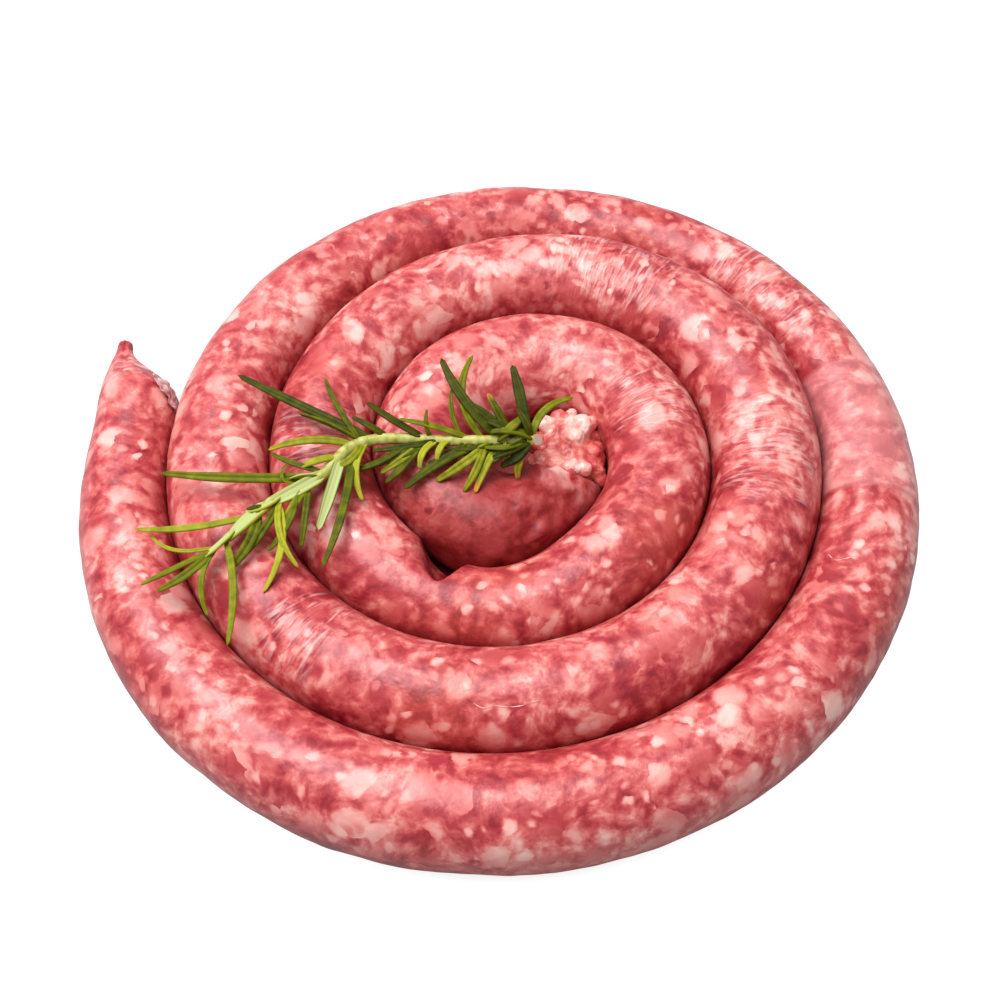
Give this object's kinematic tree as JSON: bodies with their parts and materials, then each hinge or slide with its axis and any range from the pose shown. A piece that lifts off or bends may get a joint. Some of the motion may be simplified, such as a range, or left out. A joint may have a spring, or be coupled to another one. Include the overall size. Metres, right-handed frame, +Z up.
{
  "type": "coiled raw sausage",
  "caption": "Raw coarse sausage filled in one length and wound flat into a spiral, cut open at its inner end, with a rosemary sprig lying on top.",
  "frame": {"origin": "on the surface that the coil lies on, under the middle of its box", "axes": "+Z up out of the coil; +X across its longer width; the pinched outer end lies on the -X side and points to +Y"},
  "size_m": [0.2438, 0.2332, 0.041],
  "materials": {
    "casing": "thin moist natural casing, clear enough to show red lean and pale pink fat",
    "mince": "moist coarse mince, satin, pale pink fat in red lean",
    "rosemary": "fresh leaves, satin above and pale and matt beneath"
  },
  "bodies": {
    "root": {"casing": "casing", "filling": "mince", "rosemary_sprig": "rosemary"}
  },
  "joints": []
}
